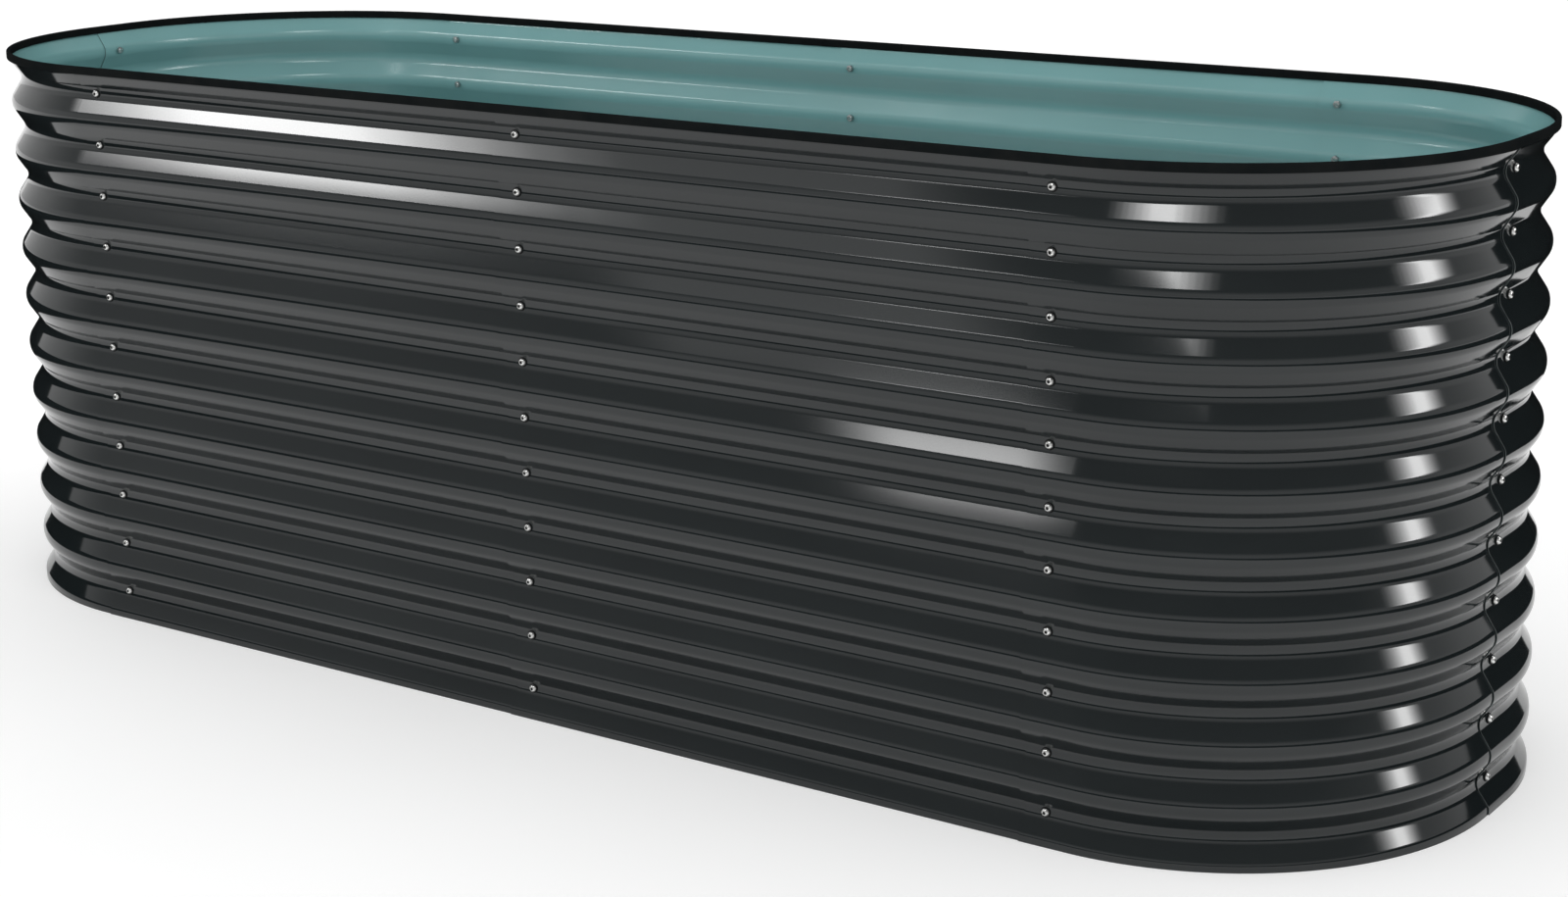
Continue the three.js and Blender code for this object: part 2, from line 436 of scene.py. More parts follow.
@dataclass
class Piece:
    """A finished piece and what the frame has to know of it.

    Attributes:
        name: The object's name.
        mesh: Its shape, in metres, already in place.
        finishes: Its materials, in the order of its faces' material numbers.
        slot: The record's material slot. Not used.
        stands_for: The nodes that it replaces.
        crease: Angle between faces, in degrees, past which an edge stays sharp.
        wall: Wall thickness in millimetres for a shape that is a surface so far.
    """

    name: str
    mesh: Shape
    finishes: list[Finish]
    slot: Slot
    stands_for: list[str] = field(default_factory=list)
    crease: float = 35.0
    wall: float = 0.0

    def finish(self) -> bpy.types.Object:
        """Makes the object, dresses it and ties it to the frame.

        Returns:
            The finished object.
        """
        piece = set_out(self.name, self.mesh, *(finish.material() for finish in self.finishes))
        if self.wall > 0:
            self.thicken(piece)
        piece.data.shade_smooth()
        piece.data.set_sharp_from_angle(angle=math.radians(self.crease))
        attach(piece, "root")
        if self.stands_for:
            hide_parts(*self.stands_for)
        LOG.info("%s: %d faces", self.name, len(piece.data.polygons))
        return piece

    def thicken(self, piece: bpy.types.Object) -> None:
        """Gives a surface its wall, with the second and third finish inside and on the edge.

        Args:
            piece: The object, whose mesh is replaced.
        """
        solidify = piece.modifiers.new("wall", "SOLIDIFY")
        solidify.thickness = self.wall * MM
        solidify.offset = 0.0
        solidify.use_even_offset = True
        solidify.material_offset = 1
        solidify.material_offset_rim = 2
        evaluated = piece.evaluated_get(bpy.context.evaluated_depsgraph_get())
        walled = bpy.data.meshes.new_from_object(evaluated)
        piece.modifiers.clear()
        thin = piece.data
        piece.data = walled
        bpy.data.meshes.remove(thin)
        walled.name = self.name


def scaled(*values: float) -> Vector:
    """Turns millimetres into a vector in metres."""
    return Vector(values) * MM


def set_out(name: str, bm: Shape, *materials: bpy.types.Material) -> bpy.types.Object:
    """Makes an object of a mesh, which is used up.

    Args:
        name: The object's name.
        bm: Its shape.
        materials: Its materials, in the order of its faces' material numbers.

    Returns:
        The object, in the scene.
    """
    data = bpy.data.meshes.new(name)
    bm.to_mesh(data)
    bm.free()
    made = bpy.data.objects.new(name, data)
    bpy.context.scene.collection.objects.link(made)
    for material in materials:
        data.materials.append(material)
    return made


def chain(bm: Shape, points: list[tuple[float, float, float]]) -> Verts:
    """Draws a line through points.

    Args:
        bm: The mesh that it goes into.
        points: Places in millimetres.

    Returns:
        The line's vertices, in order.
    """
    tip = bmesh.ops.create_vert(bm, co=scaled(*points[0]))["vert"][0]
    line = [tip]
    for point in points[1:]:
        grown = bmesh.ops.extrude_vert_indiv(bm, verts=[tip])["verts"][0]
        grown.co = scaled(*point)
        line.append(grown)
        tip = grown
    return line


def drawn_on(bm: Shape, rim: Edges, step: Vector) -> Edges:
    """Draws the open end of a shape on in a straight line.

    Args:
        bm: The mesh.
        rim: The edges of its end.
        step: How far, in metres.

    Returns:
        The edges of the new end.
    """
    grown = bmesh.ops.extrude_edge_only(bm, edges=rim)["geom"]
    verts = [item for item in grown if isinstance(item, bmesh.types.BMVert)]
    bmesh.ops.translate(bm, verts=verts, vec=step)
    return [item for item in grown if isinstance(item, bmesh.types.BMEdge)]


def bent_on(bm: Shape, rim: Edges, centre: Vector, steps: int) -> Edges:
    """Draws the open end of a shape on through a quarter turn.

    Args:
        bm: The mesh.
        rim: The edges of its end.
        centre: A point on the upright axis of the turn, in metres.
        steps: Straight pieces in the turn.

    Returns:
        The edges of the new end.
    """
    ends = list(dict.fromkeys(vert for edge in rim for vert in edge.verts))
    spun = bmesh.ops.spin(
        bm, geom=ends + rim, cent=centre, axis=UPRIGHT, angle=QUARTER_TURN, steps=steps
    )["geom_last"]
    return [item for item in spun if isinstance(item, bmesh.types.BMEdge)]


def rounded(bm: Shape, corners: Verts | Edges, reach: float, steps: int, kind: Rounding) -> None:
    """Rounds some of a shape's corners or edges.

    Args:
        bm: The mesh.
        corners: What is rounded.
        reach: How far from the corner its bend starts, in millimetres.
        steps: Straight pieces in a bend.
        kind: Whether corners or edges are rounded.
    """
    bmesh.ops.bevel(
        bm,
        geom=corners,
        offset=reach * MM,
        offset_type="OFFSET",
        segments=steps,
        profile=0.5,
        affect=kind.value,
        material=-1,
    )


def bar(bm: Shape, diameter: float, length: float, sides: int, place: Matrix) -> None:
    """Adds a straight bar with flat ends.

    Args:
        bm: The mesh that it goes into.
        diameter: Its diameter over the corners, in millimetres.
        length: Its length in millimetres.
        sides: Faces round it.
        place: Turn and move of a bar that lies on Z about the origin.
    """
    radius = diameter / 2 * MM
    bmesh.ops.create_cone(
        bm,
        cap_ends=True,
        segments=sides,
        radius1=radius,
        radius2=radius,
        depth=length * MM,
        matrix=place,
    )


def close_seams(bm: Shape) -> None:
    """Merges doubles and turns all faces of closed shapes outwards."""
    bmesh.ops.remove_doubles(bm, verts=bm.verts[:], dist=MERGE_DISTANCE)
    bmesh.ops.recalc_face_normals(bm, faces=bm.faces[:])


def turned(bm: Shape, profile: list[tuple[float, float]], steps: int) -> Verts:
    """Spins a profile about Z.

    Args:
        bm: The mesh that it goes into.
        profile: Radius and height of each point, in millimetres.
        steps: Faces round the axis.

    Returns:
        The new vertices.
    """
    part = bmesh.new()
    line = chain(part, [(radius, 0.0, height) for radius, height in profile])
    bmesh.ops.spin(
        part,
        geom=line + part.edges[:],
        cent=(0.0, 0.0, 0.0),
        axis=UPRIGHT,
        angle=2 * math.pi,
        steps=steps,
        use_merge=True,
    )
    close_seams(part)
    return poured(part, bm)


def poured(part: Shape, bm: Shape) -> Verts:
    """Adds one mesh to another.

    Args:
        part: The mesh that is added, which is used up.
        bm: The mesh that it goes into.

    Returns:
        Its vertices there.
    """
    before = len(bm.verts)
    data = bpy.data.meshes.new("part")
    part.to_mesh(data)
    part.free()
    bm.from_mesh(data)
    bpy.data.meshes.remove(data)
    bm.verts.ensure_lookup_table()
    return bm.verts[before:]


# ---- Plan ---------------------------------------------------------------------------------


class Walk(Enum):
    """How a walk round the bed goes on from one seam to the next."""

    STRAIGHT = "straight"
    CORNER = "corner"


@dataclass(frozen=True)
class Seam:
    """A seam, met on a walk round the bed, counter-clockwise from above.

    Attributes:
        name: Where the seam is.
        panel: The panel that starts there, over the last one.
        walk: How the panel goes on.
        x: Place in plan, in millimetres.
        y: Place in plan, in millimetres.
        heading: Direction of the walk, in degrees from +X.
    """

    name: str
    panel: str
    walk: Walk
    x: float
    y: float
    heading: float

    def frame(self) -> Matrix:
        """Gives the turn and move from the seam's own axes to the bed's, in metres."""
        turn = Matrix.Rotation(math.radians(self.heading), 4, "Z")
        return Matrix.Translation(scaled(self.x, self.y, 0.0)) @ turn


@dataclass(frozen=True)
class Plan:
    """The ring in plan, on the middle of the sheets in the valleys.

    Attributes:
        seam_spacing: From one seam of a long side to the next.
        corner_radius: Radius of the corners.
        lap_margin: How far a sheet goes past its seam.
        lap_to_curve: From the end of a lap to the start of a corner.
    """

    seam_spacing: float = 787.5
    corner_radius: float = 355.0
    lap_margin: float = 28.0
    lap_to_curve: float = 7.0

    @property
    def flange(self) -> float:
        """Straight stretch between a seam and the start of a corner."""
        return self.lap_margin + self.lap_to_curve

    @property
    def half_width(self) -> float:
        """Half the ring's width."""
        return self.corner_radius + self.flange

    @property
    def half_length(self) -> float:
        """Half the ring's length."""
        return self.seam_spacing + self.half_width

    def seams(self) -> list[Seam]:
        """Lays out the seams.

        Returns:
            The eight seams, in walking order.
        """
        far, wide, end = self.seam_spacing, self.half_width, self.half_length
        straight, corner = Walk.STRAIGHT, Walk.CORNER
        return [
            Seam("front_left", "side_panel_front_left", straight, -far, -wide, 0.0),
            Seam("front_middle", "side_panel_front_right", straight, 0.0, -wide, 0.0),
            Seam("front_right", "corner_panel_front_right", corner, far, -wide, 0.0),
            Seam("right_middle", "corner_panel_rear_right", corner, end, 0.0, 90.0),
            Seam("rear_right", "side_panel_rear_right", straight, far, wide, 180.0),
            Seam("rear_middle", "side_panel_rear_left", straight, 0.0, wide, 180.0),
            Seam("rear_left", "corner_panel_rear_left", corner, -far, wide, 180.0),
            Seam("left_middle", "corner_panel_front_left", corner, -end, 0.0, 270.0),
        ]


# ---- Sheet panels -------------------------------------------------------------------------


@dataclass(frozen=True)
class Corrugation:
    """The sheet's section: a bolt row in every valley, the top and bottom edges on a crest.

    Rolling has run the drawing's flats and bends together into round crests and valleys, with
    straight slopes between them. The half crests at the two edges stay flat, for the edging and
    the ground.

    Attributes:
        rows: Bolt rows, and valleys.
        pitch: From one row to the next.
        depth: From the crests to the valleys.
        thickness: Thickness of the sheet.
        slope_angle: Angle between a slope and the upright, in degrees.
        edge_flat: Height of the flat at the two edges.
        edge_reach: How far from the end of that flat its bend starts.
        edge_steps: Straight pieces in that bend.
        arc_steps: Straight pieces in a crest or a valley.
    """

    rows: int = 11
    pitch: float = 75.0
    depth: float = 17.0
    thickness: float = 0.8
    slope_angle: float = 33.0
    edge_flat: float = 9.5
    edge_reach: float = 3.0
    edge_steps: int = 5
    arc_steps: int = 14

    @property
    def height(self) -> float:
        """Height of the sheet."""
        return self.rows * self.pitch

    def row_height(self, row: int) -> float:
        """Height of a bolt row, counted from 1 at the top."""
        return self.height - (row - 0.5) * self.pitch

    @property
    def peak(self) -> float:
        """How far the meeting point of two slopes stands past the arc between them."""
        return (math.tan(math.radians(self.slope_angle)) * self.pitch / 2 - self.depth) / 2

    @property
    def arc_reach(self) -> float:
        """How far from the slopes' meeting point their arc starts."""
        return self.peak / math.tan(math.radians(self.slope_angle) / 2)

    def draw(self) -> Shape:
        """Draws the section at x = 0, with the crests towards -Y.

        Returns:
            A mesh that holds only the section's line.
        """
        edge, crest, valley = -self.depth, -self.depth - self.peak, self.peak
        middles = [
            (0.0, crest if half % 2 == 0 else valley, half * self.pitch / 2)
            for half in range(1, 2 * self.rows)
        ]
        bottom = [(0.0, edge, 0.0), (0.0, edge, self.edge_flat)]
        top = [(0.0, edge, self.height - self.edge_flat), (0.0, edge, self.height)]
        bm = bmesh.new()
        line = chain(bm, [*bottom, *middles, *top])
        rounded(bm, [line[1], line[-2]], self.edge_reach, self.edge_steps, Rounding.CORNERS)
        rounded(bm, line[2:-2], self.arc_reach, self.arc_steps, Rounding.CORNERS)
        return bm


@dataclass(frozen=True)
class SheetPanel(ABC):
    """A sheet panel that starts over one seam and ends under the next.

    Attributes:
        seam: The seam that it starts at.
        plan: The ring that it is a part of.
        section: The sheet's section.
        lap_clearance: Gap between the two sheets of a lap, square to the drawing's slopes.
        drawn_slope_height: Height of a slope of the drawing.
        crease: Angle between faces, in degrees, past which an edge stays sharp.
    """

    seam: Seam
    plan: Plan
    section: Corrugation
    lap_clearance: float = 0.4
    drawn_slope_height: float = 15.0
    crease: float = 50.0

    @property
    def lap_shift(self) -> float:
        """How far a lap's outer sheet stands out from the middle, and its inner sheet in."""
        share = self.drawn_slope_height / math.hypot(self.drawn_slope_height, self.section.depth)
        return (self.section.thickness + self.lap_clearance) / share / 2

    @abstractmethod
    def spread(self, bm: Shape) -> float:
        """Carries the section along the walk and gives the walk's length in millimetres."""

    @abstractmethod
    def along(self, place: Vector) -> tuple[float, Vector]:
        """Gives how far along the walk a point is, in millimetres, and which way is out."""

    def turn_outwards(self, bm: Shape) -> None:
        """Turns the sheet's faces to the outside of the ring.

        Args:
            bm: The sheet, on its seam's own axes.
        """
        bmesh.ops.recalc_face_normals(bm, faces=bm.faces[:])
        bm.normal_update()
        probe = min(bm.faces, key=lambda face: face.calc_center_median().x)
        if probe.normal.y > 0:
            bmesh.ops.reverse_faces(bm, faces=bm.faces[:])

    def build(self) -> bpy.types.Object:
        """Builds the panel.

        Returns:
            The finished object.
        """
        bm = self.section.draw()
        margin = self.plan.lap_margin
        bmesh.ops.translate(bm, verts=bm.verts[:], vec=scaled(-margin, 0.0, 0.0))
        length = self.spread(bm)
        for vert in bm.verts:
            reach, out = self.along(vert.co)
            vert.co += out * (self.lap_shift * MM * (1 - 2 * reach / length))
        self.turn_outwards(bm)
        bm.transform(self.seam.frame())
        piece = Piece(
            name=f"{self.seam.panel}_sheet",
            mesh=bm,
            finishes=[GLOSS_PAINT, INNER_PAINT, BARE_EDGE],
            slot=Slot.PANEL_PAINT,
            stands_for=[self.seam.panel],
            crease=self.crease,
            wall=self.section.thickness,
        )
        return piece.finish()


@dataclass(frozen=True)
class SidePanel(SheetPanel):
    """A straight panel."""

    def spread(self, bm: Shape) -> float:
        """Carries the section straight on and gives the walk's length in millimetres."""
        length = self.plan.seam_spacing + 2 * self.plan.lap_margin
        drawn_on(bm, bm.edges[:], scaled(length, 0.0, 0.0))
        return length

    def along(self, place: Vector) -> tuple[float, Vector]:
        """Gives how far along the walk a point is, in millimetres, and which way is out."""
        return place.x / MM + self.plan.lap_margin, Vector((0.0, -1.0, 0.0))


@dataclass(frozen=True)
class CornerPanel(SheetPanel):
    """A quarter-round panel with a short straight flange at each end.

    Attributes:
        corner_steps: Straight pieces in its quarter turn.
    """

    corner_steps: int = 40

    def spread(self, bm: Shape) -> float:
        """Carries the section round the corner.

        Args:
            bm: The section.

        Returns:
            The walk's length in millimetres.
        """
        flange = self.plan.lap_margin + self.plan.flange
        centre = scaled(self.plan.flange, self.plan.corner_radius, 0.0)
        rim = drawn_on(bm, bm.edges[:], scaled(flange, 0.0, 0.0))
        rim = bent_on(bm, rim, centre, self.corner_steps)
        drawn_on(bm, rim, scaled(0.0, flange, 0.0))
        return 2 * flange + self.plan.corner_radius * QUARTER_TURN

    def along(self, place: Vector) -> tuple[float, Vector]:
        """Finds a point's place on the walk.

        Args:
            place: The point, in metres, on the seam's own axes.

        Returns:
            How far along the walk it is, in millimetres, and which way is out.
        """
        flange, radius = self.plan.flange, self.plan.corner_radius
        margin = self.plan.lap_margin
        x, y = place.x / MM, place.y / MM
        if x <= flange:
            return x + margin, Vector((0.0, -1.0, 0.0))
        if y >= radius:
            return margin + flange + radius * QUARTER_TURN + y - radius, Vector((1.0, 0.0, 0.0))
        heading = math.atan2(x - flange, radius - y)
        out = Vector((math.sin(heading), -math.cos(heading), 0.0))
        return margin + flange + radius * heading, out


# ---- Fasteners ----------------------------------------------------------------------------


@dataclass(frozen=True)
class SeamFasteners:
    """The screws, washers and nuts of one seam.

    Levels are counted outwards from the middle of the lap.

    Attributes:
        seam: The seam.
        section: The sheets' section.
        lap_face: Level of the lap's outer face.
        braced_rows: Rows with a brace's tab under the nut.
        head_foot: How far the head's foot draws in, and how high its widest place lies.
        head_dome: Points of its dome: how far in from the widest place, and share of the height.
        head_top: How far the edge of its flat top draws in, and how far down that bend starts.
        socket_dip: How much deeper the middle of the socket's floor lies than its edge.
        point: Chamfer of the shank's end.
        washer_play: Gap between the washer's bore and the shank.
        washer_round: How far the washer's faces end before its rim.
        washer_flat: Height of the upright part of its rim.
        washer_relief: Gap between the washer and the head.
        nut_chamfer: Chamfer of the nut's corners.
        chamfer_steps: Straight pieces in that chamfer, which is a little round.
        end_stand: How far the shank stands out of the nut.
        seat_clearance: Gap between the sheets and what sits on them.
        tab_thickness: Thickness of a brace's tab.
        turn_by_row: How much further each row's screw is turned, in degrees.
        turn_by_letter: The same for each letter of the seam's name.
        round_steps: Faces round a screw or a washer.
    """

    seam: Seam
    section: Corrugation
    lap_face: float
    braced_rows: tuple[int, ...] = ()
    head_diameter: float = 10.5
    head_top_diameter: float = 6.0
    head_height: float = 3.3
    head_foot: tuple[float, float] = (0.15, 0.25)
    head_dome: tuple[tuple[float, float], ...] = ((0.35, 0.42), (1.15, 0.76))
    head_top: tuple[float, float] = (0.3, 0.12)
    socket_diameter: float = 4.6
    socket_depth: float = 1.9
    socket_dip: float = 0.4
    shank_diameter: float = 6.0
    point: float = 0.5
    washer_diameter: float = 13.0
    washer_thickness: float = 1.5
    washer_play: float = 0.1
    washer_round: float = 0.35
    washer_flat: float = 0.4
    washer_relief: float = 0.05
    nut_diameter: float = 11.0
    nut_thickness: float = 5.0
    nut_chamfer: float = 0.5
    chamfer_steps: int = 2
    end_stand: float = 0.5
    seat_clearance: float = 0.3
    tab_thickness: float = 2.5
    turn_by_row: int = 37
    turn_by_letter: int = 53
    round_steps: int = 18

    @property
    def washer_seat(self) -> float:
        """Level of the washer's face on the sheet."""
        return self.lap_face + self.seat_clearance

    @property
    def head_base(self) -> float:
        """Level of the head's face on the washer."""
        return self.washer_seat + self.washer_thickness

    def nut_seat(self, row: int) -> float:
        """Level of the nut's face, below zero because it is inside."""
        tab = self.tab_thickness + self.seat_clearance if row in self.braced_rows else 0.0
        return -(self.lap_face + self.seat_clearance + tab)

    def in_row(self, row: int) -> Matrix:
        """Gives the turn and move from a fastener's axis, which is Z, to its row.

        Args:
            row: The row.

        Returns:
            The turn and move. Each screw has a turn of its own, as a hand leaves it.
        """
        turn = row * self.turn_by_row + len(self.seam.name) * self.turn_by_letter
        quirk = math.radians((turn + self.seam.heading) % HEXAGON_ANGLE)
        stand = Matrix.Rotation(QUARTER_TURN, 4, "X") @ Matrix.Rotation(quirk, 4, "Z")
        lift = Matrix.Translation(scaled(0.0, 0.0, self.section.row_height(row)))
        return self.seam.frame() @ lift @ stand

    def screw(self, bm: Shape, row: int) -> Verts:
        """Adds a button-head screw with a hexagon socket.

        Args:
            bm: The mesh that it goes into.
            row: The row that it is for.

        Returns:
            Its vertices.
        """
        base, height = self.head_base, self.head_height
        rim, top = self.head_diameter / 2, self.head_top_diameter / 2
        shank, socket = self.shank_diameter / 2, self.socket_diameter / 2
        end = self.nut_seat(row) - self.nut_thickness
        floor = base + height - self.socket_depth
        foot_in, foot_up = self.head_foot
        top_in, top_down = self.head_top
        profile = [
            (0.0, end),
            (shank - self.point, end),
            (shank, end + self.point),
            (shank, base),
            (rim - foot_in, base),
            (rim, base + foot_up),
            *((rim - inwards, base + share * height) for inwards, share in self.head_dome),
            (top, base + height - top_down),
            (top - top_in, base + height),
            (socket, base + height),
            (socket, floor),
            (0.0, floor - self.socket_dip),
        ]
        verts = turned(bm, profile, self.round_steps)
        self.make_hexagon(verts, socket * MM)
        return verts

    def make_hexagon(self, verts: Verts, radius: float) -> None:
        """Draws the socket's round wall in to a hexagon and paints shade into it with the second
        finish.

        Args:
            verts: The screw's vertices, about Z.
            radius: The wall's radius, in metres.
        """
        wall = [vert for vert in verts if abs(vert.co.xy.length - radius) < SAME_PLACE]
        step = math.radians(HEXAGON_ANGLE)
        for vert in wall:
            side = math.atan2(vert.co.y, vert.co.x) % step - step / 2
            vert.co.xy *= math.cos(step / 2) / math.cos(side)
        # The faces inside the socket take the near-black steel, painted shade in the recess.
        for face in {face for vert in wall for face in vert.link_faces}:
            if face.calc_center_median().xy.length < radius:
                face.material_index = 1

    def washer(self, bm: Shape, row: int) -> Verts:
        """Adds a rubber washer, squeezed a little round at its rim.

        Args:
            bm: The mesh that it goes into.
            row: The row that it is for. Not used, as all washers are alike.

        Returns:
            Its vertices.
        """
        bore, rim = self.shank_diameter / 2 + self.washer_play, self.washer_diameter / 2
        low, high = self.washer_seat, self.head_base
        middle, face = (low + high) / 2, rim - self.washer_round
        profile = [
            (bore, low),
            (face, low),
            (rim, middle - self.washer_flat / 2),
            (rim, middle + self.washer_flat / 2),
            (face, high - self.washer_relief),
            (bore, high - self.washer_relief),
            (bore, low),
        ]
        return turned(bm, profile, self.round_steps)

    def nut(self, bm: Shape, row: int) -> Verts:
        """Adds a hexagon nut with chamfered corners, a little short of the screw's end.

        Args:
            bm: The mesh that it goes into.
            row: The row that it is for.

        Returns:
            Its vertices.
        """
        part = bmesh.new()
        depth = self.nut_thickness - self.end_stand
        place = Matrix.Translation(scaled(0.0, 0.0, self.nut_seat(row) - depth / 2))
        bar(part, self.nut_diameter, depth, HEXAGON_SIDES, place)
        level = [
            edge
            for edge in part.edges
            if abs(edge.verts[0].co.z - edge.verts[1].co.z) < SAME_PLACE
        ]
        rounded(part, level, self.nut_chamfer, self.chamfer_steps, Rounding.EDGES)
        close_seams(part)
        return poured(part, bm)

    def build(self) -> list[bpy.types.Object]:
        """Builds the seam's screws, washers and nuts.

        Returns:
            The three finished objects.
        """
        loose = [row for row in range(1, self.section.rows + 1) if row % 2 == 1]
        nodes = [f"seam_bolt_{self.seam.name}_{row:02d}" for row in loose]
        kinds = [
            ("screws", self.screw, [SCREW_STEEL, SOCKET_SHADE_STEEL], Slot.BOLT_STEEL, nodes),
            ("washers", self.washer, [WASHER_RUBBER], Slot.EDGING_RUBBER, []),
            ("nuts", self.nut, [NUT_STEEL], Slot.BOLT_STEEL, []),
        ]
        made = []
        for label, maker, finishes, slot, stands_for in kinds:
            bm = bmesh.new()
            for row in range(1, self.section.rows + 1):
                verts = maker(bm, row)
                bmesh.ops.transform(bm, matrix=self.in_row(row), verts=verts)
            name = f"{label}_{self.seam.name}"
            made.append(Piece(name, bm, finishes, slot, stands_for).finish())
        return made


# ---- Edging -------------------------------------------------------------------------------


@dataclass(frozen=True)
class RimEdging:
    """One rubber strip of U section pushed over the top edge, its joint beside the rear seam.

    Attributes:
        plan: The ring that it sits on.
        section: The sheets' section.
        lap_face: From the middle of a lap to its face.
        wall: Thickness of the U's legs.
        crown: Thickness of its top.
        clearance: Gap between the strip and the sheets.
        leg: How far its legs reach down from the sheets' top edge.
        joint_offset: From the rear middle seam to the joint.
        joint_gap: Gap in the joint.
        corner_steps: Straight pieces in a quarter turn.
        shoulder: Rounding of its top corners.
        lip: Rounding of its legs' corners.
        bend_steps: Straight pieces in a rounding.
    """

    plan: Plan
    section: Corrugation
    lap_face: float
    wall: float = 1.6
    crown: float = 2.0
    clearance: float = 0.3
    leg: float = 9.0
    joint_offset: float = 80.0
    joint_gap: float = 1.0
    corner_steps: int = 40
    shoulder: float = 1.9
    lip: float = 0.7
    bend_steps: int = 4

    def profile(self, bm: Shape) -> Verts:
        """Draws the U at the strip's start, facing back along the walk's heading of 180 degrees.

        Args:
            bm: The mesh that it goes into.

        Returns:
            The corners of the U.
        """
        slot = self.lap_face + self.clearance
        side = slot + self.wall
        foot = self.section.height - self.leg
        roof = self.section.height + self.clearance
        top = roof + self.crown
        start = self.joint_offset - self.joint_gap / 2
        middle = self.plan.half_width + self.section.depth
        corners = [
            (side, foot),
            (side, top),
            (-side, top),
            (-side, foot),
            (-slot, foot),
            (-slot, roof),
            (slot, roof),
            (slot, foot),
        ]
        return chain(bm, [(start, middle + across, height) for across, height in corners])

    def build(self) -> bpy.types.Object:
        """Builds the strip.

        Returns:
            The finished object.
        """
        bm = bmesh.new()
        corners = self.profile(bm)
        bmesh.ops.contextual_create(bm, geom=[corners[0], corners[-1]])
        feet = [corners[index] for index in (0, 3, 4, 7)]
        rounded(bm, corners[1:3], self.shoulder, self.bend_steps, Rounding.CORNERS)
        rounded(bm, feet, self.lip, self.bend_steps, Rounding.CORNERS)
        bmesh.ops.contextual_create(bm, geom=bm.edges[:])
        rim = bm.edges[:]
        flange, offset, half_gap = self.plan.flange, self.joint_offset, self.joint_gap / 2
        across = self.plan.seam_spacing + flange
        straights = [
            (Vector((-1.0, 0.0, 0.0)), across + offset - half_gap, (-1, 1)),
            (Vector((0.0, -1.0, 0.0)), 2 * flange, (-1, -1)),
            (Vector((1.0, 0.0, 0.0)), 2 * across, (1, -1)),
            (Vector((0.0, 1.0, 0.0)), 2 * flange, (1, 1)),
        ]
        for heading, reach, (side_x, side_y) in straights:
            rim = drawn_on(bm, rim, heading * reach * MM)
            centre = scaled(side_x * across, side_y * flange, 0.0)
            rim = bent_on(bm, rim, centre, self.corner_steps)
        rim = drawn_on(bm, rim, scaled(offset + half_gap - across, 0.0, 0.0))
        bmesh.ops.contextual_create(bm, geom=rim)
        close_seams(bm)
        piece = Piece(
            name="rim_edging_strip",
            mesh=bm,
            finishes=[EDGING_RUBBER],
            slot=Slot.EDGING_RUBBER,
            stands_for=["rim_edging"],
            crease=40.0,
        )
        return piece.finish()


# ---- Braces -------------------------------------------------------------------------------


@dataclass(frozen=True)
class CrossBrace:
    """A rod across the bed with an upright tab at each end, held by the seam bolts.

    Attributes:
        name: The node that it stands for.
        row: The bolt row that holds it.
        plan: The ring that it crosses.
        section: The sheets' section.
        lap_face: From the middle of a lap to its face.
        nut_gap: From the nut's corners down to the rod.
        tab_margin: From the nut or the rod to the tab's edge.
        tab_corner: Rounding of the tab's corners.
        seat_clearance: Gap between the sheets and the tab.
    """

    name: str
    row: int
    plan: Plan
    section: Corrugation
    lap_face: float
    rod_diameter: float = 6.0
    nut_diameter: float = 11.0
    nut_gap: float = 5.0
    tab_thickness: float = 2.5
    tab_margin: float = 4.5
    tab_corner: float = 4.0
    tab_corner_steps: int = 5
    seat_clearance: float = 0.3
    rod_steps: int = 20

    def tab(self, bm: Shape, middle: float, foot: float, top: float) -> None:
        """Adds a tab with rounded corners.

        Args:
            bm: The mesh that it goes into.
            middle: Place of its middle across the bed, in millimetres.
            foot: Height of its foot.
            top: Height of its top.
        """
        width = self.nut_diameter + 2 * self.tab_margin
        part = bmesh.new()
        size = Matrix.Diagonal((width * MM, self.tab_thickness * MM, (top - foot) * MM, 1.0))
        place = Matrix.Translation(scaled(0.0, middle, (top + foot) / 2))
        bmesh.ops.create_cube(part, size=1.0, matrix=place @ size)
        corners = [
            edge
            for edge in part.edges
            if abs(edge.verts[0].co.y - edge.verts[1].co.y) > self.tab_thickness * MM / 2
        ]
        rounded(part, corners, self.tab_corner, self.tab_corner_steps, Rounding.EDGES)
        close_seams(part)
        poured(part, bm)

    def build(self) -> bpy.types.Object:
        """Builds the brace.

        Returns:
            The finished object.
        """
        bm = bmesh.new()
        height = self.section.row_height(self.row)
        face = self.plan.half_width - self.lap_face - self.seat_clearance
        middle = face - self.tab_thickness / 2
        drop = self.nut_diameter / 2 + self.nut_gap + self.rod_diameter / 2
        top = height + self.nut_diameter / 2 + self.tab_margin
        foot = height - drop - self.rod_diameter / 2 - self.tab_margin
        level = Matrix.Translation(scaled(0.0, 0.0, height - drop))
        lie = level @ Matrix.Rotation(QUARTER_TURN, 4, "X")
        bar(bm, self.rod_diameter, 2 * middle, self.rod_steps, lie)
        for side in (-1, 1):
            self.tab(bm, side * middle, foot, top)
        piece = Piece(
            name=f"{self.name}_rod",
            mesh=bm,
            finishes=[BRACE_STEEL],
            slot=Slot.BRACE_STEEL,
            stands_for=[self.name],
        )
        return piece.finish()


# ---- Studio -------------------------------------------------------------------------------


def hung(name: str, light: bpy.types.Light, place: tuple[float, ...] | Vector) -> bpy.types.Object:
    """Hangs a light in the scene.

    Args:
        name: The lamp's name.
        light: Its light.
        place: Where it hangs, in metres.

    Returns:
        The lamp.
    """
    lamp = bpy.data.objects.new(name, light)
    lamp.location = place
    bpy.context.scene.collection.objects.link(lamp)
    return lamp


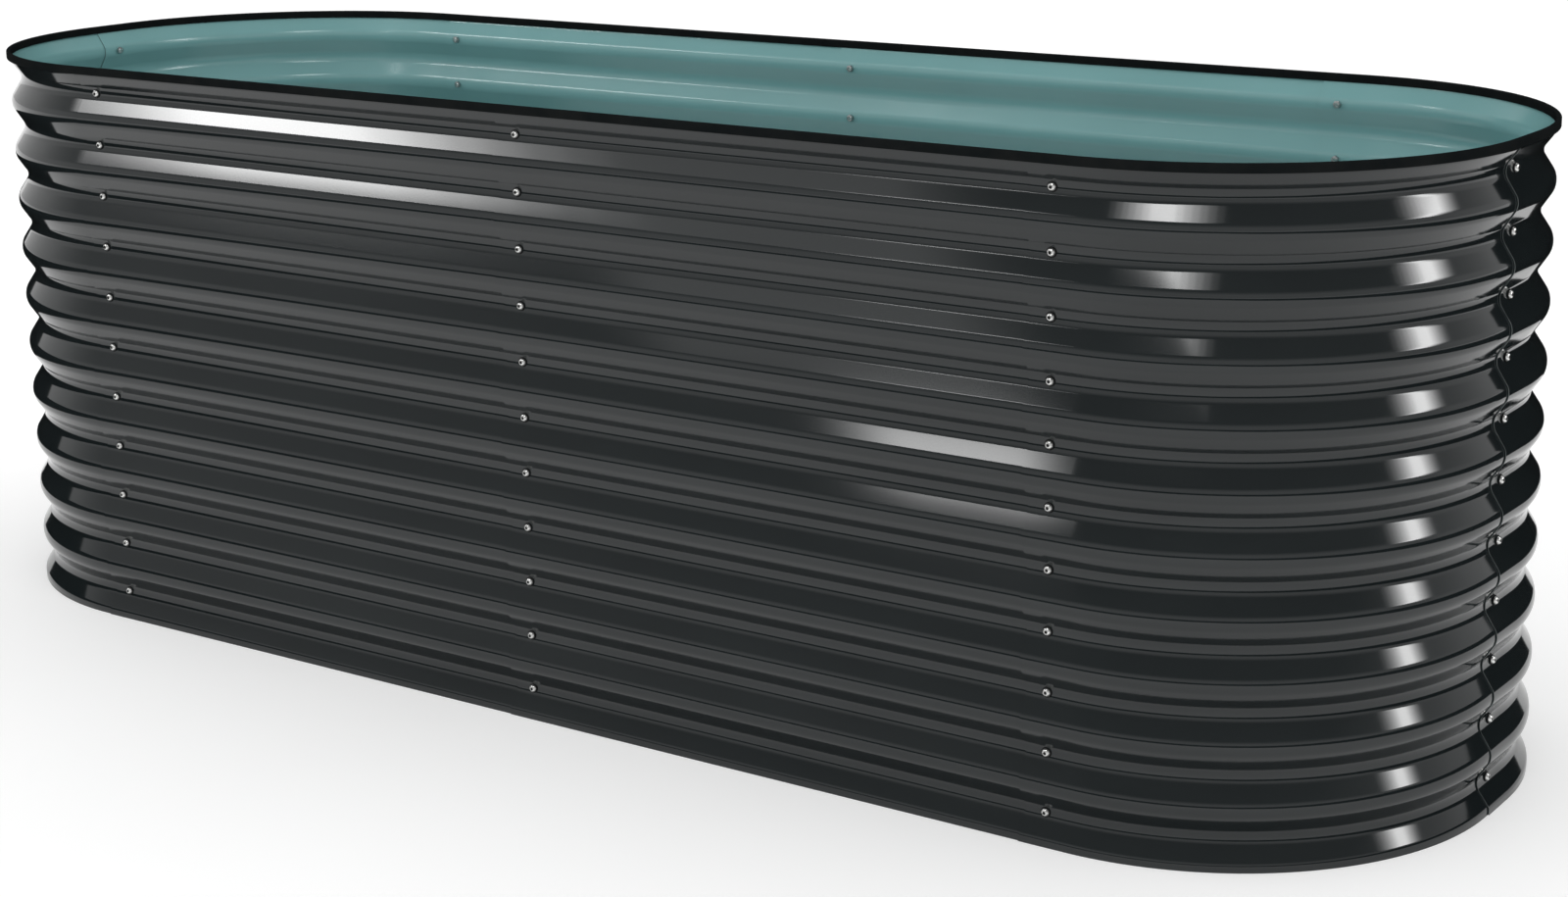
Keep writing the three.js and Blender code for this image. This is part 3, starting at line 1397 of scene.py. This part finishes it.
def aimed(ahead: Vector, roll: float = 0.0) -> Quaternion:
    """Gives the turn of a lamp or camera that looks ahead, with a roll in degrees."""
    return ahead.to_track_quat("-Z", "Y") @ Quaternion(UPRIGHT, math.radians(roll))


@dataclass(frozen=True)
class Softbox:
    """A level lamp that only gloss shows: it lights no matt colour and the camera misses it.

    Attributes:
        name: The lamp's name.
        place: Where it hangs, in metres.
        size: Length along X and along Y in metres.
        glow: Brightness of its face at the middle, where 1 is white.
        fade: Share of each length over which the glow falls off towards the ends.
        layers: Faces that make up a lamp that fades, each smaller and brighter than the last.
        layer_gap: How far each face hangs below the last, in metres.
    """

    name: str
    place: tuple[float, float, float]
    size: tuple[float, float]
    glow: float
    fade: tuple[float, float] = (0.0, 0.0)
    layers: int = 7
    layer_gap: float = 0.004

    def hang(self) -> None:
        """Adds the lamp."""
        layers = self.layers if any(self.fade) else 1
        for layer in range(layers):
            share = layer / layers
            size = [length * (1 - fade * share) for length, fade in zip(self.size, self.fade)]
            part_of_glow = (layer + 1) * 2 / (layers * (layers + 1))
            light = bpy.data.lights.new(self.name, "AREA")
            light.shape = "RECTANGLE"
            light.size, light.size_y = size
            light.energy = self.glow * part_of_glow * math.pi * size[0] * size[1]
            lamp = hung(self.name, light, Vector(self.place) - UPRIGHT * layer * self.layer_gap)
            lamp.visible_camera = False
            lamp.visible_diffuse = False


@dataclass(frozen=True)
class SkyGlow:
    """Broad light from above, too soft to show in the gloss.

    Attributes:
        name: The lamp's name.
        source: A point that the light comes from, seen from the origin.
        strength: Watts to the square metre.
        spread: Angle that it fills, in degrees.
    """

    name: str
    source: tuple[float, float, float]
    strength: float
    spread: float

    def hang(self) -> None:
        """Adds the lamp."""
        light = bpy.data.lights.new(self.name, "SUN")
        light.energy = self.strength
        light.angle = math.radians(self.spread)
        lamp = hung(self.name, light, self.source)
        lamp.rotation_mode = "QUATERNION"
        lamp.rotation_quaternion = aimed(-Vector(self.source))
        lamp.visible_glossy = False


@dataclass(frozen=True)
class GlossScreen:
    """A dark screen that stands on the floor and that only gloss shows.

    Attributes:
        name: The screen's name.
        line: Its corners in plan, in metres.
        height: Its height in metres.
    """

    name: str
    line: tuple[tuple[float, float], ...]
    height: float

    def stand(self) -> None:
        """Adds the screen."""
        bm = bmesh.new()
        chain(bm, [(x / MM, y / MM, 0.0) for x, y in self.line])
        drawn_on(bm, bm.edges[:], UPRIGHT * self.height)
        screen = set_out(self.name, bm, SCREEN_FELT.material())
        screen.visible_camera = False
        screen.visible_diffuse = False
        screen.visible_shadow = False


@dataclass(frozen=True)
class PhotoCamera:
    """The camera, where the photograph was taken from.

    Attributes:
        place: Its place, in metres.
        azimuth: How far it looks round to the left of straight ahead, in degrees.
        elevation: How far it looks down, in degrees.
        roll: Its roll, in degrees.
        lens: Focal length in millimetres.
        sensor: Width of the film in millimetres.
        shift: Upward shift of the frame, as a share of its width.
        sight: How far it sees, in metres.
    """

    place: tuple[float, float, float] = (2.299, -3.083, 1.305)
    azimuth: float = 34.97
    elevation: float = 12.97
    roll: float = -0.67
    lens: float = 63.5
    sensor: float = 36.0
    shift: float = -0.06
    sight: float = 400.0

    def stand(self) -> None:
        """Adds the camera and makes it the scene's own."""
        data = bpy.data.cameras.new("photo_camera")
        data.lens = self.lens
        data.shift_y = self.shift
        data.sensor_width = self.sensor
        data.clip_end = self.sight
        azimuth, elevation = math.radians(self.azimuth), math.radians(self.elevation)
        level = math.cos(elevation)
        ahead = Vector((-math.sin(azimuth) * level, math.cos(azimuth) * level, -math.sin(elevation)))
        camera = bpy.data.objects.new("photo_camera", data)
        camera.location = self.place
        camera.rotation_mode = "QUATERNION"
        camera.rotation_quaternion = aimed(ahead, self.roll)
        bpy.context.scene.collection.objects.link(camera)
        bpy.context.scene.camera = camera


@dataclass(frozen=True)
class Studio:
    """The floor, the room's glow, the screens and the lamps.

    Attributes:
        floor_radius: Radius of the floor in metres.
        floor_steps: Straight pieces round the floor.
        floor_tone: Tone of the floor's darker spots.
        floor_drift: How much paler its pale spots are.
        floor_cloud: Pattern of those spots.
        floor_roughness: Roughness of the floor.
        floor_lift: Glow that lifts the floor to white where it is looked at.
        wall: Glow of the walls.
        wall_top: Upward share of a direction up to which it meets a wall.
        ceiling: Glow of the ceiling.
        ceiling_start: Upward share of a direction from which it meets the ceiling.
        screens: The screens.
        lamps: The lamps.
    """

    floor_radius: float = 120.0
    floor_steps: int = 96
    floor_tone: float = 0.86
    floor_drift: float = 0.02
    floor_cloud: Grain = Grain(1.1)
    floor_roughness: float = 0.9
    floor_lift: float = 0.24
    wall: float = 0.75
    wall_top: float = 0.3
    ceiling: float = 0.2
    ceiling_start: float = 0.6
    screens: tuple[GlossScreen, ...] = (
        GlossScreen(
            "low_screen",
            (
                (-2.1, -3.2), (-2.1, 1.2), (-1.2, 2.1), (1.2, 2.1), (2.3, 1.4), (3.2, -0.5),
                (3.3, -1.8), (2.4, -3.3), (0.6, -3.5), (-1.0, -3.3), (-2.1, -3.2),
            ),
            0.5,
        ),
        GlossScreen(
            "tall_screen", ((-2.0, 0.4), (-2.0, 1.1), (-1.2, 2.0), (1.2, 2.0), (1.9, 1.4)), 1.9
        ),
    )
    lamps: tuple[Softbox | SkyGlow, ...] = (
        SkyGlow("overhead_glow", (0.2, -1.4, 4.5), 2.3, 150.0),
        Softbox("far_left_lamp", (-3.85, -2.46, 3.5), (2.6, 0.6), 18.0, fade=(0.8, 0.2)),
        Softbox("front_haze", (-2.1, -2.8, 3.5), (1.7, 0.8), 0.8, fade=(0.4, 0.0)),
        Softbox("front_lamp", (-1.75, -3.38, 3.5), (1.0, 0.34), 11.0, fade=(0.6, 0.4)),
        Softbox("corner_lamp", (0.87, -2.36, 3.5), (2.2, 0.8), 16.0, fade=(0.9, 0.4)),
        Softbox("right_lamp", (6.4, 1.95, 3.5), (4.8, 2.6), 14.0, fade=(0.3, 0.9)),
        Softbox("inner_lamp", (-2.2, -1.57, 3.5), (3.4, 0.3), 1.0, fade=(0.3, 0.3)),
        Softbox("inner_tube", (-2.0, -1.8, 3.5), (0.5, 0.2), 12.0, fade=(0.6, 0.5)),
    )

    def floor(self) -> None:
        """Adds the pale floor."""
        bm = bmesh.new()
        bmesh.ops.create_circle(
            bm, cap_ends=True, segments=self.floor_steps, radius=self.floor_radius
        )
        floor = set_out("floor", bm, self.floor_material())

    def floor_material(self) -> bpy.types.Material:
        """Makes the floor's material: pale, and lifted to white where it is looked at.

        Returns:
            The material.
        """
        sheet = ShaderSheet("pale_floor")
        dark, pale = self.floor_tone, self.floor_tone + self.floor_drift
        sheet.feed("Base Color", sheet.blend(self.floor_cloud, (dark,) * 3, (pale,) * 3))
        sheet.set("Roughness", self.floor_roughness)
        sheet.set("Specular IOR Level", 0.0)
        sheet.set("Emission Color", (1.0, 1.0, 1.0, 1.0))
        rays = sheet.nodes.new("ShaderNodeLightPath")
        looked_at = rays.outputs["Is Camera Ray"]
        for kind in ("Is Glossy Ray", "Is Transmission Ray"):
            either = sheet.nodes.new("ShaderNodeMath")
            either.operation = "MAXIMUM"
            sheet.links.new(looked_at, either.inputs[0])
            sheet.links.new(rays.outputs[kind], either.inputs[1])
            looked_at = either.outputs["Value"]
        lift = sheet.nodes.new("ShaderNodeMath")
        lift.operation = "MULTIPLY"
        lift.inputs[1].default_value = self.floor_lift
        sheet.links.new(looked_at, lift.inputs[0])
        sheet.feed("Emission Strength", lift.outputs["Value"])
        return sheet.material

    def room(self) -> None:
        """Fills the world with pale walls under a dim ceiling."""
        world = bpy.data.worlds.new("room")
        world.use_nodes = True
        bpy.context.scene.world = world
        nodes, links = world.node_tree.nodes, world.node_tree.links
        nodes.clear()
        output = nodes.new("ShaderNodeOutputWorld")
        background = nodes.new("ShaderNodeBackground")
        direction = nodes.new("ShaderNodeTexCoord")
        split = nodes.new("ShaderNodeSeparateXYZ")
        ramp = nodes.new("ShaderNodeValToRGB")
        links.new(direction.outputs["Generated"], split.inputs["Vector"])
        links.new(split.outputs["Z"], ramp.inputs["Fac"])
        links.new(ramp.outputs["Color"], background.inputs["Color"])
        links.new(background.outputs["Background"], output.inputs["Surface"])
        walls = (self.wall_top, (self.wall,) * 3)
        ceiling = (self.ceiling_start, (self.ceiling,) * 3)
        set_stops(ramp.color_ramp, walls, ceiling)

    def build(self) -> None:
        """Adds the floor, the room, the screens and the lamps."""
        self.floor()
        self.room()
        for screen in self.screens:
            screen.stand()
        for lamp in self.lamps:
            lamp.hang()
        bpy.context.scene.view_settings.view_transform = "Standard"


# ---- Garden bed ---------------------------------------------------------------------------


@dataclass(frozen=True)
class GardenBed:
    """The whole bed.

    Attributes:
        plan: The ring in plan.
        section: The sheets' section.
        braces: Each brace's node and bolt row.
        braced_seams: The seams that the braces join.
    """

    plan: Plan = field(default_factory=Plan)
    section: Corrugation = field(default_factory=Corrugation)
    braces: tuple[tuple[str, int], ...] = (("cross_brace_upper", 5), ("cross_brace_lower", 9))
    braced_seams: tuple[str, ...] = ("front_middle", "rear_middle")

    def build(self) -> None:
        """Builds the panels, the fasteners, the edging and the braces in order."""
        kinds = {Walk.STRAIGHT: SidePanel, Walk.CORNER: CornerPanel}
        braced_rows = tuple(row for _, row in self.braces)
        lap_face = 0.0
        for seam in self.plan.seams():
            panel = kinds[seam.walk](seam, self.plan, self.section)
            lap_face = panel.lap_shift + self.section.thickness / 2
            panel.build()
            rows = braced_rows if seam.name in self.braced_seams else ()
            SeamFasteners(seam, self.section, lap_face, rows).build()
        RimEdging(self.plan, self.section, lap_face).build()
        for name, row in self.braces:
            CrossBrace(name, row, self.plan, self.section, lap_face).build()


def main() -> None:
    """Loads the frame and builds the bed, the studio and the camera."""
    logging.basicConfig(level=logging.INFO, format="%(name)s: %(message)s")
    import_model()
    PhotoCamera().stand()
    GardenBed().build()
    Studio().build()


if __name__ == "__main__":
    main()
